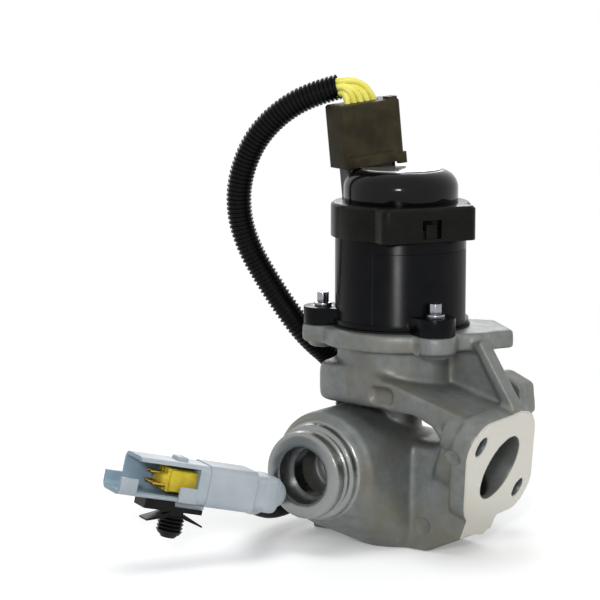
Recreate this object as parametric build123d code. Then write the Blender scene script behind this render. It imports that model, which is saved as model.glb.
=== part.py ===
from build123d import *
import os
from math import radians, sin, cos, tan, atan2, degrees, pi

# Electric exhaust gas recirculation valve: an aluminium casting with two gas ports, a poppet
# on a stem, a linear solenoid with a position sensor on top, and its own wiring harness.
# Origin: on the stem axis, at the flat underside of the casting. +Z runs up the stem,
# -Y is the way the round spigot points and +X the way the bolted flange looks. Millimetres.

# ---- fits ----
press_gap = 0.02          # radial gap of pieces that are pressed or moulded together
running_gap = 0.05        # radial gap of a guided stem
body_gap = 0.3            # gap between curved faces of pieces that move past each other
seat_gap = 0.3            # gap between the poppet and its seat at rest

# ---- gas side of the casting ----
body_r = 20.0             # round gas chamber, outside
body_top = 48.0
body_shoulder = 4.0
chamber_r = 15.0          # lower chamber, inside
chamber_floor = 6.0
chamber_top = 22.0
insert_r = 11.5           # seat ring and core plug share one machined bore
upper_r = 14.0            # upper chamber, inside
upper_top = 44.0
seat_z = 25.0             # underside of the seat ring
seat_h = 4.5
seat_bevel = 1.6
throat_r = 8.8
core_plug_h = 3.5
core_plug_wall = 1.2
neck_half = 15.0          # half width of the neck between chamber and flange
keel_x = 24.5             # where the flat underside ends and rises to the flange foot

# ---- spigot, pointing along -Y ----
spigot_x, spigot_y, spigot_z = -15.0, -53.0, 35.5
spigot_bore_r = 12.3
spigot_depth = 27.0
lip_r, lip_len = 19.1, 5.0
groove_r, groove_len = 17.6, 3.0
collar_r, collar_len = 21.0, 4.5
pipe_r, pipe_len = 25.5, 59.0
pipe_step = 3.0
pipe_dome = 11.0
liner_wall, liner_len, liner_depth = 1.6, 6.0, 9.0
spigot_passage_r = 8.5
spigot_passage_z = 37.0

# ---- flange, tilted down ----
flange_x, flange_y, flange_z = 52.4, 0.0, 38.2
flange_yaw, flange_tilt = 4.5, 21.0
flange_bore_r, flange_bore_depth = 15.0, 14.0
flange_t = 9.0
flange_mid_r, flange_lobe_r = 27.5, 11.5
bolt_half, bolt_slope, bolt_hole_r = 33.0, -29.2, 4.4
lobe_depth = 17.0
neck_r = 19.5
passage_r = 10.5
elbow = (30.0, 0.0, 20.5)
chamber_entry = (4.0, 0.0, 15.0)

# ---- column, arm and upper plate ----
column_r = 10.0
arm_floor = 63.5
arm_left_top = 80.5
arm_level, arm_slope = 79.8, 0.25   # height of the arm's top on the stem axis, and its fall per mm of X
arm_r = 28.5
lobe_x, lobe_y, lobe_r = -18.0, -17.0, 11.0
wall_r = 27.5
plate_top, plate_t, plate_r = 96.4, 8.0, 34.5
plate_round = 2.0
wing_points = [(10, 28), (28.5, 34.0), (50.0, 14.5), (46.5, 8), (43.5, -1), (20, -22)]
wing_round = 3.0
cup_r, cup_floor = 22.0, 72.0
gusset_t = 4.0
rib_t, rib_w = 3.5, 8.0

# ---- stem and valve ----
stem_r = 3.0
head_r, head_h = 10.2, 6.5
lift = 6.0
guide_r = 5.5
guide_low, guide_high = 45.0, 70.0
spring_r, spring_wire, spring_turns = 8.6, 0.8, 4.5
spring_low, spring_head = 73.6, 7.4    # foot of the return spring, and its top below the plate
stem_rise = 35.6            # top of the stem above the plate
spring_high = plate_top - spring_head
stem_top = plate_top + stem_rise
shield_r, shield_t, shield_rise = 16.0, 1.0, 1.6

# ---- actuator ----
can_r, can_wall = 28.7, 2.8
can_rise = 44.6
can_top = plate_top + can_rise
can_lip_out, can_lip_h = 1.3, 2.5
can_lip_r = can_r + can_lip_out
panel_drop = 10.5           # top of the raised panel below the can's rim
can_floor_hole = 20.0
ear_reach, ear_r, ear_h = 5.3, 8.6, 7.5
ear_pitch_r = can_r + ear_reach
ear_angles = (-30.0, 90.0, 210.0)
bush_r, bush_bore_r = 4.5, 2.7
screw_r, screw_len = 2.5, 16.0
head_flange_r, head_flange_h = 3.9, 1.6
drive_r, drive_h = 2.85, 6.2
pole_r, pole_h, pole_hub_h = 25.0, 4.0, 4.5
armature_r, armature_h = 10.6, 13.0
armature_rise = 18.1
armature_low = plate_top + armature_rise
sleeve_wall = 0.6
bobbin_wall, bobbin_flange = 1.2, 2.0
coil_rise = 32.6            # top of the coil above the plate
coil_high = plate_top + coil_rise
stator_wall, coil_gap = 1.5, 2.9
coil_r = can_r - can_wall - stator_wall - coil_gap
washer_h = 3.0

# ---- cover, cap and sensor ----
cover_rise, cover_h, cover_out = 39.3, 14.8, 1.9
cover_low = plate_top + cover_rise
cover_r = can_r + cover_out
cover_gap = 0.1
latch_t, latch_z, latch_w, latch_h = 0.9, 4.6, 5.0, 6.0
window_z, window_w, window_h, window_in = 5.6, 9.0, 8.0, 1.8
block_half, block_out = 22.5, 1.3
block_face = can_r + block_out
block_round = 4.0
cap_r, cap_h, cap_round, cap_wall = 25.0, 14.1, 8.0, 3.0
disc_r, disc_t = 17.6, 0.5
track_t, track_w = 1.2, 12.0
plunger_r = 2.4
plunger_rise, wiper_rise = 55.6, 50.6
plunger_top = plate_top + plunger_rise
wiper_w, wiper_t, wiper_pitch = 0.8, 0.6, 1.5
wiper_z = plate_top + wiper_rise
tower_x, tower_y = -17.6, 2.1
tower_yaw, tower_lean = 65.0, -6.0
tower_l, tower_t, tower_h = 24.0, 10.0, 15.5
header_l, header_t, header_h = 21.0, 8.5, 11.0
header_wall = 1.2

# ---- harness plug and its terminals ----
pin_count, pin_pitch = 5, 3.6
pin_w, pin_t = 1.0, 0.6
plug_l, plug_t, plug_h = 30.0, 16.0, 27.5
plug_wall = 2.6
plug_skirt = 13.0
plug_cavity = 2.6
plug_tab = (4.2, 5.0, 1.8)      # latch tab that stands on the plug's top edge
plug_foot = (3.8, 5.0)     # foot at the corner of the plug's lower edge
foot_drop = 1.2
lock_line = 0.7                 # groove round the lock strip on the plug's front
wire_r = 1.1
wire_mouth = [(-1.5, -2.4), (-2.6, 0.6), (0.0, 0.0), (2.6, -0.2), (1.5, 2.5)]

# ---- conduit, from the wires down to the end connector ----
conduit_r = 5.6
conduit_bore_r = 4.3
conduit_route = [
    (-29.0, -6.5, 199.5), (-41.0, -12.0, 196.0), (-55.5, -18.0, 186.0), (-66.5, -21.5, 172.0),
    (-73.0, -22.5, 152.0), (-72.0, -19.0, 131.0), (-62.5, -10.5, 108.0), (-49.5, -3.0, 87.0),
    (-43.0, 13.5, 73.0), (-41.5, 21.0, 56.0), (-44.0, 20.0, 37.0), (-47.5, 10.0, 21.5),
    (-51.0, -6.0, 12.5), (-51.0, -25.0, 11.0), (-47.0, -43.0, 17.0), (-41.0, -53.5, 21.5),
]

# ---- end connector ----
rear_point = (-26.0, -60.5, 28.0)
mouth_point = (-59.5, -124.5, 45.0)
shell_w, shell_t, shell_wall = 19.5, 18.0, 1.8
shroud_len = 40.0
shroud_step = 1.0        # the shroud is this much slimmer than the body behind it
window_len = 27.5        # side window of the shroud
chin_len = 7.7           # the lower half of the shroud reaches this much further
housing_low = 12.0       # where the housing starts, measured from the rear end
knee_r, knee_len = 6.6, 7.0
insert_w, insert_t = 12.5, 9.5
contact_r = 0.8
rail_w, rail_h, rail_low, rail_len = 8.0, 2.4, 32.0, 14.0
clip_z = 44.0            # middle of the fir-tree stud along the connector
clip_plate_w, clip_plate_t = 11.0, 2.0
clip_low, clip_high = 33.0, 60.0
stud_r, stud_len, stud_fins = 4.6, 11.5, 5
wing_reach, wing_w, wing_root, wing_drop = 13.0, 8.0, 2.6, 6.2

nodes = {}


def disc(radius, low, high, x=0.0, y=0.0):
    """Upright cylinder between two levels."""
    return Pos(x, y, low) * Cylinder(radius, high - low, align=(Align.CENTER, Align.CENTER, Align.MIN))


def ring(outer, inner, low, high, x=0.0, y=0.0):
    """Upright tube between two levels."""
    return disc(outer, low, high, x, y) - disc(inner, low - 1, high + 1, x, y)


def turned(profile, place=Plane.XY):
    """Solid of revolution from (radius, height) points, standing on a plane."""
    return place * revolve(Plane.XZ * make_face(Polyline(*profile, close=True)), Axis.Z, 360)


def side_slab(points, y_low, y_high):
    """Plate cut from an outline in XZ, between two values of Y."""
    face = Plane.XZ * make_face(Polyline(*points, close=True))
    return Pos(0, y_high, 0) * extrude(face, amount=y_high - y_low)


def rod(start, end, radius):
    """Round bar from one point to another."""
    start, end = Vector(*start), Vector(*end)
    run = end - start
    place = Plane(origin=start, z_dir=run)
    return place * Cylinder(radius, run.length, align=(Align.CENTER, Align.CENTER, Align.MIN))


def ball(centre, radius):
    return Pos(*centre) * Sphere(radius)


def block(length, width, low, high, x=0.0, y=0.0, corner=0.0):
    """Upright block with rounded corners between two levels."""
    outline = RectangleRounded(length, width, corner) if corner else Rectangle(length, width)
    return Pos(x, y, low) * extrude(outline, amount=high - low)


def ear_places(radius=ear_pitch_r):
    return [(radius * cos(radians(a)), radius * sin(radians(a))) for a in ear_angles]


def helix_spring(radius, wire, low, high, turns):
    """Round wire spring with both end turns inside the given levels."""
    rise = high - low - 2 * wire
    path = Pos(0, 0, low + wire) * Helix(pitch=rise / turns, height=rise, radius=radius)
    start = Plane(origin=path @ 0, z_dir=path % 0)
    return sweep(start * Circle(wire), path=path, is_frenet=True)


# ---- frames of the tilted pieces ----
yaw, tilt = radians(flange_yaw), radians(flange_tilt)
flange_out = Vector(cos(yaw) * cos(tilt), sin(yaw) * cos(tilt), -sin(tilt))
flange_plane = Plane(origin=(flange_x, flange_y, flange_z), x_dir=(-sin(yaw), cos(yaw), 0), z_dir=flange_out)
spigot_plane = Plane(origin=(spigot_x, spigot_y, spigot_z), x_dir=(1, 0, 0), z_dir=(0, -1, 0))
cap_low = cover_low + cover_h
cap_top = cap_low + cap_h
tower_long = Vector(cos(radians(tower_yaw)), sin(radians(tower_yaw)), 0)
tower_up = Vector(sin(radians(tower_lean)) * tower_long.X, sin(radians(tower_lean)) * tower_long.Y,
                  cos(radians(tower_lean)))
tower_plane = Plane(origin=(tower_x, tower_y, cap_low), z_dir=tower_up,
                    x_dir=tower_long - tower_up * tower_long.dot(tower_up))
connector_run = Vector(*mouth_point) - Vector(*rear_point)
connector_plane = Plane(origin=rear_point, z_dir=connector_run,
                        x_dir=Vector(0, 0, 1).cross(connector_run))
cover_turn = ear_angles[0]          # the cover's flat block looks the same way as the first ear


# ---- casting ----
def bolt_places():
    run = radians(180 + bolt_slope)
    return [(side * bolt_half * cos(run), side * bolt_half * sin(run)) for side in (1, -1)]


def flange_outline():
    discs = Circle(flange_mid_r)
    for x, y in bolt_places():
        discs += Pos(x, y) * Circle(flange_lobe_r)
    foot = make_face(Polyline((-16, -18), (-11, -30.5), (10, -36.0), (15.5, -30), (20, -18), close=True))
    return make_hull(discs.edges()) + foot


def flange_solid():
    plate = extrude(flange_outline(), amount=-flange_t)
    plate += Pos(0, 0, -22) * Cylinder(neck_r, 22, align=(Align.CENTER, Align.CENTER, Align.MIN))
    for x, y in bolt_places():
        plate += Pos(x, y, -lobe_depth) * Cone(flange_lobe_r - 3.5, flange_lobe_r, lobe_depth,
                                               align=(Align.CENTER, Align.CENTER, Align.MIN))
    return flange_plane * plate


def keel():
    """Neck between the round chamber and the flange, with its sloping underside."""
    points = [(0, 0), (keel_x, 0), (43.0, 8.5), (52.0, 38.0), (52.0, 60.0), (40.0, 57.0),
              (26.0, body_top), (0, body_top)]
    neck = side_slab(points, -neck_half, neck_half)
    long_edges = neck.edges().filter_by(lambda e: e.center().Z > body_top - 2 and abs(e.center().Y) > 1)
    return fillet(long_edges.filter_by(lambda e: e.length > 5), 6.0)


def spigot_outside():
    marks = [0, lip_len, lip_len + groove_len, lip_len + groove_len + collar_len]
    bevel = 0.8
    profile = [(0, 0), (lip_r - bevel, 0), (lip_r, -bevel), (lip_r, -marks[1]), (groove_r, -marks[1]),
               (groove_r, -marks[2]), (collar_r - bevel, -marks[2]), (collar_r, -marks[2] - bevel),
               (collar_r, -marks[3]), (pipe_r - pipe_step, -marks[3]), (pipe_r, -marks[3] - 2 * pipe_step),
               (pipe_r, -pipe_len), (0, -pipe_len)]
    pipe = turned(profile, spigot_plane)
    far = pipe.edges().filter_by(GeomType.CIRCLE).sort_by(Axis.Y)[-1]
    return fillet(far, pipe_dome)


def gas_space():
    """Everything that the gas fills, and the bores that its inserts are pressed into."""
    space = disc(insert_r, -1, seat_z + seat_h)
    space += fillet(disc(chamber_r, chamber_floor, chamber_top).edges(), 3.0)
    space += fillet(disc(upper_r, seat_z + seat_h, upper_top).edges().sort_by(Axis.Z)[-1], 4.0)
    bore_end = Vector(flange_x, flange_y, flange_z) - flange_out * flange_bore_depth
    space += flange_plane * Pos(0, 0, -flange_bore_depth) * Cylinder(
        flange_bore_r, flange_bore_depth + 1, align=(Align.CENTER, Align.CENTER, Align.MIN))
    bore_end = tuple(bore_end)
    space += rod(bore_end, elbow, passage_r) + ball(bore_end, passage_r) + ball(elbow, passage_r)
    space += rod(elbow, chamber_entry, passage_r - 1.5)
    inner = (spigot_x, spigot_y + spigot_depth, spigot_passage_z)
    space += spigot_plane * Pos(0, 0, -spigot_depth) * Cylinder(
        spigot_bore_r, spigot_depth + 1, align=(Align.CENTER, Align.CENTER, Align.MIN))
    space += rod(inner, (0, 0, spigot_passage_z), spigot_passage_r) + ball(inner, spigot_passage_r)
    return space


def arm():
    """Sloping deck that carries the actuator wall and runs down to the flange."""
    corner_r = 5.0
    outline = Circle(arm_r) + Pos(lobe_x, lobe_y) * Circle(lobe_r)
    for x, y in ((57.0, -30.0), (54.0, 10.0)):
        outline += Pos(x, y) * Circle(corner_r)
    deck = Pos(0, 0, 48) * extrude(make_hull(outline.edges()), amount=40)
    flat_end = (arm_level - arm_left_top) / arm_slope
    side = [(-45, arm_floor), (-45, arm_left_top), (flat_end, arm_left_top), (70, arm_level - 70 * arm_slope),
            (70, 50), (47, 50), (38, 60), (28, arm_floor)]
    deck = deck & side_slab(side, -60, 60)
    return deck


def upper_plate():
    plate_low = plate_top - plate_t
    outline = Circle(plate_r) + make_face(Polyline(*wing_points, close=True))
    for x, y in ear_places():
        outline += Pos(x, y) * Circle(ear_r + 0.6)
    outline = fillet(outline.vertices(), wing_round)
    plate = Pos(0, 0, plate_low) * extrude(outline, amount=plate_t)
    plate = fillet(plate.faces().sort_by(Axis.Z)[-1].outer_wire().edges(), plate_round)
    for x, y in ear_places():
        plate += disc(6.2, plate_low - 2.4, plate_low + 1, x, y)
    return plate


def gusset():
    web = side_slab([(20, 92), (43.5, 92), (61.5, 64.5), (20, 70)], -gusset_t / 2, gusset_t / 2)
    edge = [(43.5 - rib_t, 92), (44.5, 93.5), (62.5, 65.5), (60.5 - rib_t, 64)]
    web += side_slab(edge, -rib_w + 3, 3)
    lug = side_slab([(42, 78), (46, 78), (57, 73.5), (58.5, 60), (42, 62)], 8, 20)
    return web + fillet(lug.edges().filter_by(Axis.Y), 1.5)


def valve_housing():
    chamber = disc(body_r, 0, body_top)
    chamber = fillet(chamber.edges().sort_by(Axis.Z)[-1], body_shoulder)
    shape = chamber + keel() + flange_solid() + spigot_outside()
    shape += block(13, 9, 0, 24, -35.5, -4, 2.0)
    shape += disc(column_r, body_top - 4, arm_floor + 2)
    shape += arm() + disc(wall_r, 70, plate_top - 4) + upper_plate() + gusset()
    shape -= flange_plane * Pos(0, 0, 40) * Box(200, 200, 80)
    shape -= Pos(0, 0, -20) * Box(300, 300, 40)
    shape -= gas_space()
    shape -= disc(cup_r, cup_floor, plate_top + 1)
    shape -= disc(guide_r, guide_low - 2, cup_floor + 1)
    for x, y in ear_places():
        shape -= disc(screw_r + press_gap, plate_top - screw_len + ear_h, plate_top + 1, x, y)
    for x, y in bolt_places():
        shape -= flange_plane * Pos(x, y, -lobe_depth - 1) * Cylinder(
            bolt_hole_r, lobe_depth + 2, align=(Align.CENTER, Align.CENTER, Align.MIN))
    return shape


nodes["valve_housing"] = valve_housing()


# ---- gas side inserts ----
plug_side = insert_r - press_gap
nodes["valve_seat"] = turned([
    (throat_r, seat_z + seat_bevel), (throat_r + seat_bevel, seat_z), (plug_side, seat_z),
    (plug_side, seat_z + seat_h), (throat_r, seat_z + seat_h)])
nodes["core_plug"] = disc(plug_side, 0, core_plug_h) - disc(
    plug_side - core_plug_wall, core_plug_wall, core_plug_h + 1)
liner_r = spigot_bore_r - press_gap
nodes["port_liner"] = spigot_plane * ring(
    liner_r, liner_r - liner_wall, -liner_depth - liner_len, -liner_depth)
nodes["stem_guide"] = ring(guide_r - press_gap, stem_r + running_gap, guide_low, guide_high)
nodes["stem_seal"] = ring(guide_r - press_gap, stem_r + running_gap, guide_high, cup_floor)
shield_in = stem_r + 0.5
nodes["stem_shield"] = turned([
    (shield_in, cup_floor), (shield_r - shield_rise - 1.4, cup_floor), (shield_r, cup_floor + shield_rise),
    (shield_r - shield_t, cup_floor + shield_rise), (shield_r - shield_rise - 2.0, cup_floor + shield_t),
    (shield_in, cup_floor + shield_t)])

# ---- moving valve ----
head_top = seat_z + seat_bevel - seat_gap
head_low = head_top - head_h
nodes["valve_poppet"] = turned([
    (0, head_low), (head_r - 1.5, head_low), (head_r, head_low + 1.2), (head_r, head_top - 3.2),
    (head_r - 3.0, head_top - 0.2), (stem_r, head_top + 3.0), (stem_r, stem_top), (0, stem_top)])
retainer_low = spring_high
nodes["spring_retainer"] = ring(spring_r + 2.2, stem_r + press_gap, retainer_low, retainer_low + 2.0)
nodes["return_spring"] = helix_spring(spring_r, spring_wire, spring_low, spring_high, spring_turns)
nodes["armature"] = ring(armature_r, stem_r + press_gap, armature_low, armature_low + armature_h) - turned(
    [(stem_r + 1, armature_low - 1), (8, armature_low - 1), (5, armature_low + 3), (stem_r + 1, armature_low + 3)])
nut_low = armature_low + armature_h
nodes["armature_nut"] = Pos(0, 0, nut_low) * extrude(
    RegularPolygon(4.4, 6) - Circle(stem_r + press_gap), amount=3.2)

# ---- actuator ----
gasket_h, gasket_r = 0.8, can_lip_r + 0.6
gasket = ring(gasket_r, can_floor_hole, plate_top, plate_top + gasket_h)
for ear_x, ear_y in ear_places():
    gasket -= disc(bush_r + press_gap, plate_top - 1, plate_top + 2, ear_x, ear_y)
nodes["actuator_gasket"] = gasket
can_low = plate_top + gasket_h


def ear_outline(x, y):
    along = atan2(y, x)
    root = Rot(0, 0, degrees(along)) * Pos(can_r - 6, 0) * Rectangle(4, 2 * ear_r + 3)
    return make_hull((Pos(x, y) * Circle(ear_r) + root).edges())


def actuator_can():
    can = disc(can_lip_r, can_low, can_low + can_lip_h) + disc(can_r, can_low, can_top)
    for x, y in ear_places():
        can += Pos(0, 0, plate_top) * extrude(ear_outline(x, y), amount=ear_h)
    panel = disc(can_r + 0.6, can_low + 2, can_top - panel_drop) & (
        Rot(0, 0, cover_turn) * block(30, 2 * block_half, can_low, can_top - panel_drop + 0.5, can_r + 1))
    can += panel
    can -= disc(can_r - can_wall, can_low + can_lip_h, can_top + 1) + disc(can_floor_hole, plate_top - 6, can_top)
    can -= disc(gasket_r + 0.1, plate_top - 1, can_low)
    for x, y in ear_places():
        can -= disc(bush_r + press_gap, plate_top - 1, plate_top + ear_h + 1, x, y)
    return can


nodes["actuator_can"] = actuator_can()
nodes["ear_bushes"] = Part() + [ring(bush_r, bush_bore_r, plate_top, plate_top + ear_h, x, y)
                                for x, y in ear_places()]


def screw(x, y):
    seat = plate_top + ear_h
    body = disc(screw_r, seat - screw_len, seat, x, y)
    body += disc(head_flange_r, seat, seat + head_flange_h, x, y)
    body += disc(drive_r, seat, seat + drive_h, x, y)
    return fillet(body.edges().sort_by(Axis.Z)[-1], 0.6)


nodes["actuator_screws"] = Part() + [screw(x, y) for x, y in ear_places()]

can_bore = can_r - can_wall
pole_low = can_low + can_lip_h
pole = disc(can_bore - press_gap, pole_low, pole_low + pole_h)
pole += disc(armature_r, pole_low, pole_low + pole_h + pole_hub_h)
nodes["pole_piece"] = pole - disc(stem_r + body_gap, pole_low - 1, pole_low + pole_h + pole_hub_h + 1)
sleeve_in = armature_r + 0.25
sleeve_out = sleeve_in + sleeve_wall
pole_top = pole_low + pole_h
coil_low = pole_top
nodes["armature_sleeve"] = ring(sleeve_out, sleeve_in, pole_top, coil_high + washer_h)
spool = ring(sleeve_out + press_gap + bobbin_wall, sleeve_out + press_gap, coil_low, coil_high)
for low in (coil_low, coil_high - bobbin_flange):
    spool += ring(coil_r + 0.8, sleeve_out + press_gap, low, low + bobbin_flange)
nodes["coil_bobbin"] = spool
nodes["coil_winding"] = ring(
    coil_r, sleeve_out + 2 * press_gap + bobbin_wall,
    coil_low + bobbin_flange + press_gap, coil_high - bobbin_flange - press_gap)
nodes["stator_shell"] = ring(can_bore - press_gap, can_bore - stator_wall, pole_top, coil_high + washer_h)
nodes["flux_washer"] = ring(can_bore - stator_wall - press_gap, sleeve_out + press_gap, coil_high,
                            coil_high + washer_h)


# ---- cover, sensor cap and sensor ----
def cover_outline(wall=0.0):
    flat = Rot(0, 0, cover_turn) * Pos((block_face - wall) / 2, 0) * RectangleRounded(
        block_face - wall, 2 * (block_half - wall), block_round)
    return Circle(cover_r - wall) + flat


def collar_cover():
    cover = Pos(0, 0, cover_low) * extrude(cover_outline(), amount=cover_h)
    cover = chamfer(cover.faces().sort_by(Axis.Z)[-1].outer_wire().edges(), 1.2)
    cover -= disc(can_r + cover_gap, cover_low - 1, can_top)
    cover -= disc(cap_r - 2 * cap_wall, cover_low, cap_low + 1)
    low, high = can_r + cover_gap - window_in, block_face + 3
    window = Rot(0, 0, cover_turn) * Pos((low + high) / 2, 0, cover_low + window_z) * Box(
        high - low, window_w, window_h)
    return cover - window


nodes["collar_cover"] = collar_cover()
nodes["cover_latch"] = Rot(0, 0, cover_turn) * Pos(
    can_r + cover_gap + latch_t / 2, 0, cover_low + latch_z) * Box(latch_t, latch_w, latch_h)


def pin_offsets():
    return [(i - (pin_count - 1) / 2) * pin_pitch for i in range(pin_count)]


def pin_bar(x, low, high, extra=0.0):
    return Pos(x, 0, low) * extrude(Rectangle(pin_w + extra, pin_t + extra), amount=high - low)


pin_low, pin_high = 2.5, tower_h + header_h - 1.0
cap_inner_top = cap_top - cap_wall


def sensor_cap():
    dome = disc(cap_r, cap_low, cap_top)
    dome = fillet(dome.edges().sort_by(Axis.Z)[-1], cap_round)
    tower = Pos(0, 0, -2) * extrude(RectangleRounded(tower_l, tower_t, 1.6), amount=tower_h + 2)
    tower += extrude(RectangleRounded(header_l, header_t, 1.4), amount=tower_h + header_h)
    dome += tower_plane * tower - disc(60, cap_low - 10, cap_low)
    hollow = disc(cap_r - 2 * cap_wall, cap_low - 1, cap_inner_top)
    dome -= hollow
    socket = Pos(0, 0, tower_h + 2) * extrude(
        RectangleRounded(header_l - 2 * header_wall, header_t - 2 * header_wall, 0.8), amount=header_h)
    dome -= tower_plane * socket
    for x in pin_offsets():
        dome -= tower_plane * pin_bar(x, pin_low, pin_high, 2 * press_gap)
    return dome


nodes["sensor_cap"] = sensor_cap()
nodes["terminal_pins"] = Part() + [tower_plane * pin_bar(x, pin_low, pin_high) for x in pin_offsets()]
tower_hole = tower_plane * extrude(RectangleRounded(tower_l + 0.4, tower_t + 0.4, 1.8), amount=tower_h + 2)
nodes["cap_disc"] = disc(disc_r, cap_top, cap_top + disc_t) - tower_hole
track_x = 8.0
nodes["sensor_track"] = block(track_t, track_w, can_top + 1, cap_inner_top, track_x, 0)
plunger_low = stem_top + body_gap
plunger = disc(plunger_r, plunger_low, plunger_top) + disc(plunger_r + 1.4, plunger_low, plunger_low + 2)
nodes["sensor_plunger"] = plunger + block(4.2, 5.0, 146, 150, plunger_r + 1.5, 0)
wiper_x = plunger_r + 3.6
wiper_end = track_x - track_t / 2 - body_gap
nodes["wiper_contacts"] = Part() + [
    block(wiper_end - wiper_x, wiper_w, wiper_z, wiper_z + wiper_t, (wiper_end + wiper_x) / 2, y)
    for y in (-wiper_pitch, 0.0, wiper_pitch)]
nodes["sensor_spring"] = helix_spring(plunger_r - 0.6, 0.3, plunger_top, cap_inner_top, 6)

# ---- harness plug on the tower ----
plug_low = tower_h


def plug_housing():
    body = Pos(0, 0, plug_low) * extrude(RectangleRounded(plug_l, plug_t, 2.2), amount=plug_h)
    body = chamfer(body.faces().sort_by(Axis.Z)[-1].edges(), 0.8)
    skirt = Pos(0, 0, plug_low - 1) * extrude(
        RectangleRounded(plug_l - 2 * plug_wall, plug_t - 2 * plug_wall, 1.4), amount=plug_skirt + 1)
    tongue_side = 2 * header_wall + 0.4
    tongue = Pos(0, 0, tower_h + 3.0) * extrude(
        RectangleRounded(header_l - tongue_side, header_t - tongue_side, 0.6), amount=plug_skirt - 3.0)
    body = body - skirt + tongue
    for x in pin_offsets():
        body -= Pos(x, 0, plug_low) * extrude(Rectangle(plug_cavity, plug_cavity), amount=plug_h + 1)
    corner_x, front_y = plug_l / 2, -plug_t / 2
    foot = Box(plug_foot[0], plug_wall, plug_foot[1], align=(Align.MAX, Align.MIN, Align.MIN))
    body += Pos(corner_x + lock_line, front_y, plug_low - foot_drop) * foot
    tab = Box(*plug_tab, align=(Align.MAX, Align.MIN, Align.MIN))
    body += Pos(corner_x - 2 * lock_line, front_y + lock_line, plug_low + plug_h - lock_line) * tab
    strip = Pos(-plug_foot[0] / 2, front_y, plug_low + plug_foot[1]) * Box(
        plug_l - 2 * plug_foot[0], lock_line, lock_line)
    return tower_plane * (body - strip)


nodes["plug_housing"] = plug_housing()
nodes["plug_seal"] = tower_plane * (Pos(0, 0, tower_h + 1.0) * extrude(
    RectangleRounded(plug_l - 2 * plug_wall - 2 * press_gap, plug_t - 2 * plug_wall - 2 * press_gap, 1.4)
    - RectangleRounded(header_l + 2 * press_gap, header_t + 2 * press_gap, 1.4), amount=2.0))
terminal_low, terminal_len = tower_h + 3.5, 14.0
terminal_side = plug_cavity - 2 * press_gap
terminal_ring = Rectangle(terminal_side, terminal_side) - Rectangle(pin_w + 0.1, pin_t + 0.1)
nodes["plug_terminals"] = Part() + [
    tower_plane * (Pos(x, 0, terminal_low) * extrude(terminal_ring,
                                                     amount=terminal_len)) for x in pin_offsets()]

# ---- harness wires and conduit ----
def route_radii(points):
    """The largest arcs that the runs of a route leave room for."""
    radii = []
    for before, here, after in zip(points, points[1:], points[2:]):
        run_in, run_out = Vector(*here) - Vector(*before), Vector(*after) - Vector(*here)
        half_turn = radians(run_in.get_angle(run_out) / 2)
        radii.append(0.45 * min(run_in.length, run_out.length) / tan(half_turn))
    return radii


plug_top = tower_h + plug_h


def wire(index, x):
    """One wire from its terminal in the plug, over the top and into the mouth of the conduit."""
    mouth, second = Vector(*conduit_route[0]), Vector(*conduit_route[1])
    inward = (second - mouth).normalized()
    side = Vector(0, 0, 1).cross(inward).normalized() * -1
    side_shift, up_shift = wire_mouth[index]
    end = mouth + side * side_shift + side.cross(inward) * up_shift + inward * 2
    start = tower_plane.from_local_coords(Vector(x, 0, terminal_low + terminal_len))
    above = tower_plane.from_local_coords(Vector(x, 0, plug_top))
    bend = above + tower_up * ((end.Z - above.Z) / tower_up.Z)
    before = end - inward * min(4.0, 0.4 * (end - bend).length)
    route = [start, bend, before, end]
    path = FilletPolyline(*route, radius=route_radii(route))
    return sweep(Plane(origin=path @ 0, z_dir=path % 0) * Circle(wire_r), path=path)


nodes["harness_wires"] = Part() + [wire(i, x) for i, x in enumerate(pin_offsets())]


def conduit():
    radii = route_radii(conduit_route)
    path = FilletPolyline(*conduit_route, radius=radii)
    start = Plane(origin=path @ 0, z_dir=path % 0)
    tube = sweep(start * Circle(conduit_r), path=path) - sweep(start * Circle(conduit_bore_r), path=path)
    section = pi * (conduit_r ** 2 - conduit_bore_r ** 2)
    print("conduit radii", [round(r, 1) for r in radii])
    ratio = tube.volume / (section * path.length)
    print("conduit length", round(path.length, 1), "volume ratio", round(ratio, 4))
    return tube


nodes["harness_conduit"] = conduit()


# ---- end connector ----
shell_len = connector_run.length
shroud_low = shell_len - shroud_len


def connector_housing():
    slim_w, slim_t = shell_w - shroud_step, shell_t - shroud_step
    body = Pos(0, 0, housing_low) * extrude(
        RectangleRounded(shell_w, shell_t, 3.5), amount=shroud_low - housing_low)
    body += Pos(0, 0, shroud_low) * extrude(RectangleRounded(slim_w, slim_t, 3.5), amount=shroud_len)
    inner_w, inner_t = slim_w - 2 * shell_wall, slim_t - 2 * shell_wall
    window_high = shell_len - chin_len
    body -= Pos(0, 0, window_high - window_len) * extrude(
        RectangleRounded(inner_w, inner_t, 2), amount=shroud_len)
    body -= Pos(0, 0, 5) * extrude(RectangleRounded(insert_w + 0.1, insert_t + 0.1, 1), amount=shell_len)
    body -= Pos(slim_w / 2, 0, window_high - window_len / 2) * Box(3 * shell_wall, inner_t, window_len)
    body -= Pos(0, slim_t / 2, window_high + chin_len) * Box(2 * slim_w, slim_t + shell_wall, 2 * chin_len)
    rail = Box(rail_w, rail_h + shell_wall, rail_len, align=(Align.CENTER, Align.MIN, Align.MIN))
    body += Pos(0, -slim_t / 2 - rail_h, rail_low) * rail
    return connector_plane * body


nodes["connector_housing"] = connector_housing()


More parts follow.
